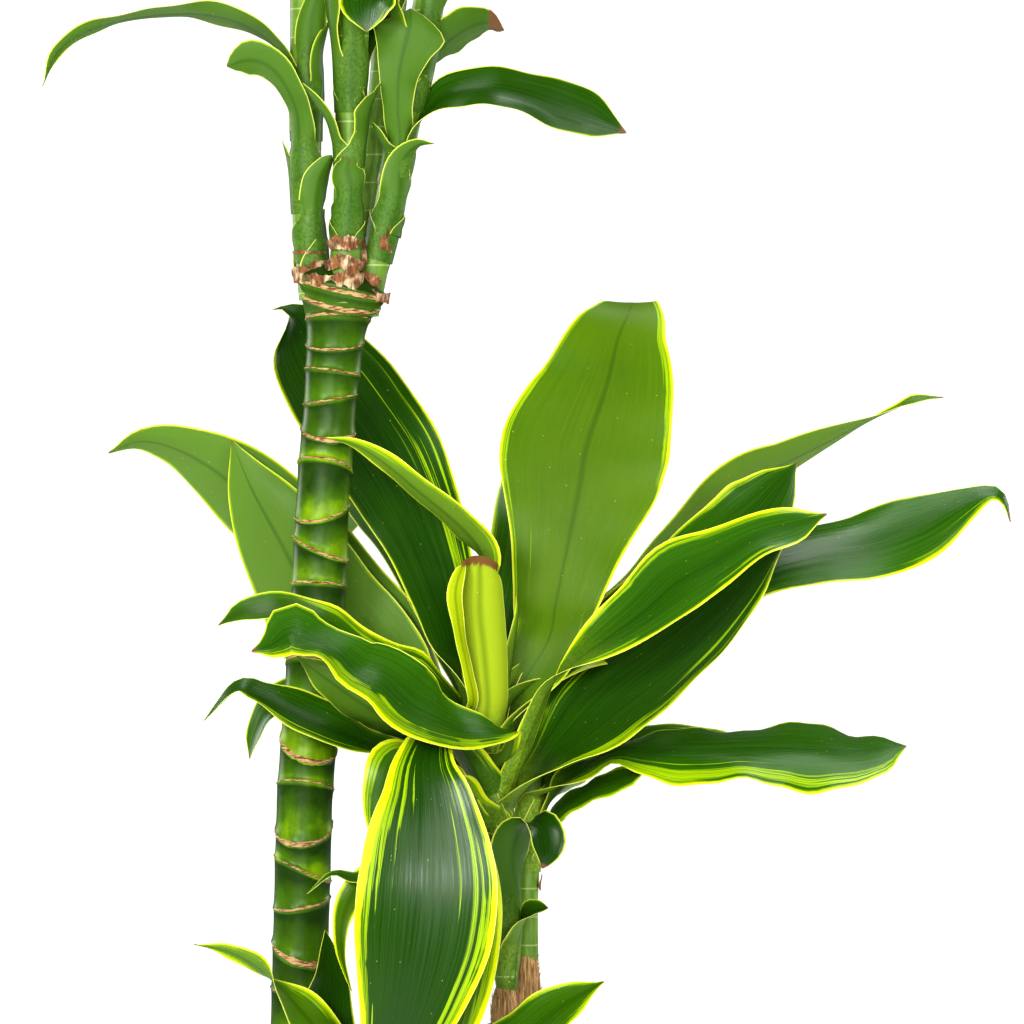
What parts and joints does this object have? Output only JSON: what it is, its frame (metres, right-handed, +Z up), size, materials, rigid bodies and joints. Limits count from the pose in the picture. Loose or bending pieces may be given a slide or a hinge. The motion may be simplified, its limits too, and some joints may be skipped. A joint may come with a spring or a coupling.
{
  "type": "potted corn plant",
  "caption": "Potted corn plant: bare ringed canes of stepped heights carry rosettes of long arching yellow-edged leaves, set in soil in a plain tapered pot.",
  "frame": {"origin": "centre of the pot's underside, on the surface that the pot stands on", "axes": "+Z up along the canes, -Y towards the viewer of the picture, +X to the viewer's right"},
  "size_m": [0.5416, 0.4725, 1.1491],
  "materials": {
    "pot_plastic": "matte",
    "potting_soil": "matte",
    "green_cane": "satin",
    "woody_cane": "matte",
    "leaf": "satin"
  },
  "bodies": {
    "root": {"pot": "pot_plastic", "soil": "potting_soil", "tall_cane": "green_cane", "middle_cane": "woody_cane", "low_cane": "woody_cane", "tall_shoot_left": "leaf", "tall_shoot_front": "leaf", "tall_shoot_right": "leaf", "tall_shoot_back": "leaf", "middle_shoot": "leaf", "side_shoot": "leaf", "low_shoot": "leaf"}
  },
  "joints": []
}
